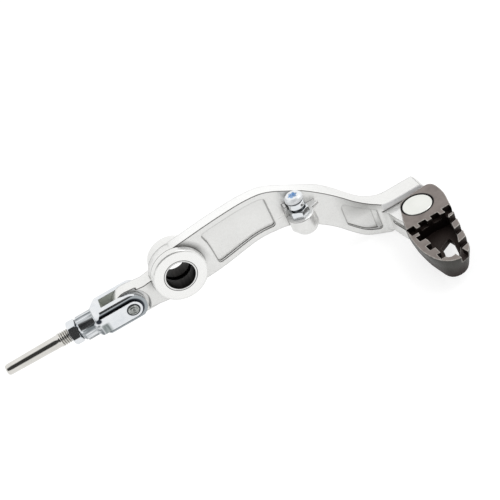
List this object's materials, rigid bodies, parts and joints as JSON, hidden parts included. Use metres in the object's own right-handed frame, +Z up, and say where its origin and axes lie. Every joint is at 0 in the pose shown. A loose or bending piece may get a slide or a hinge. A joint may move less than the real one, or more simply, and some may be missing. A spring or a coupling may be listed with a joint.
{
  "type": "motorcycle rear brake pedal",
  "caption": "Arched aluminium brake lever with pivot hub, stop screw, toothed steel toe plate, and a fork head with spring clip and push rod.",
  "frame": {"origin": "centre of the pivot bore, halfway along it", "axes": "+X forward to the toe plate, +Y along the pivot bolt towards the motorcycle, +Z up with the tread level"},
  "size_m": [0.2522, 0.0874, 0.0658],
  "materials": {
    "lever_aluminium": "bead-blasted",
    "bush_steel": "machined",
    "toe_steel": "satin dark cast steel",
    "rivet_aluminium": "satin",
    "zinc_steel": "bright zinc plate",
    "rod_steel": "turned, bright"
  },
  "bodies": {
    "lever": {"lever": "lever_aluminium", "front_bush": "bush_steel", "rear_bush": "bush_steel", "toe_plate": "toe_steel", "toe_rivet": "rivet_aluminium", "stop_nut": "zinc_steel"},
    "stop_screw": {"stop_screw": "zinc_steel"},
    "fork_head": {"clevis": "zinc_steel", "clevis_pin": "zinc_steel", "clevis_clip": "zinc_steel", "rod_nut": "zinc_steel"},
    "push_rod": {"push_rod": "rod_steel"}
  },
  "joints": [
    {"name": "fork_swing", "type": "hinge", "parent": "lever", "child": "fork_head", "pos_m": [-0.0308, 0, -0.0047], "axis": [0, 1, 0], "range_deg": [-45, 45]},
    {"name": "rod_adjust", "type": "slide", "parent": "fork_head", "child": "push_rod", "axis": [1, 0, 0], "range_m": [-0.006, 0.003]},
    {"name": "stop_adjust", "type": "slide", "parent": "lever", "child": "stop_screw", "axis": [0, 0, 1], "range_m": [-0.0008, 0.003]}
  ]
}
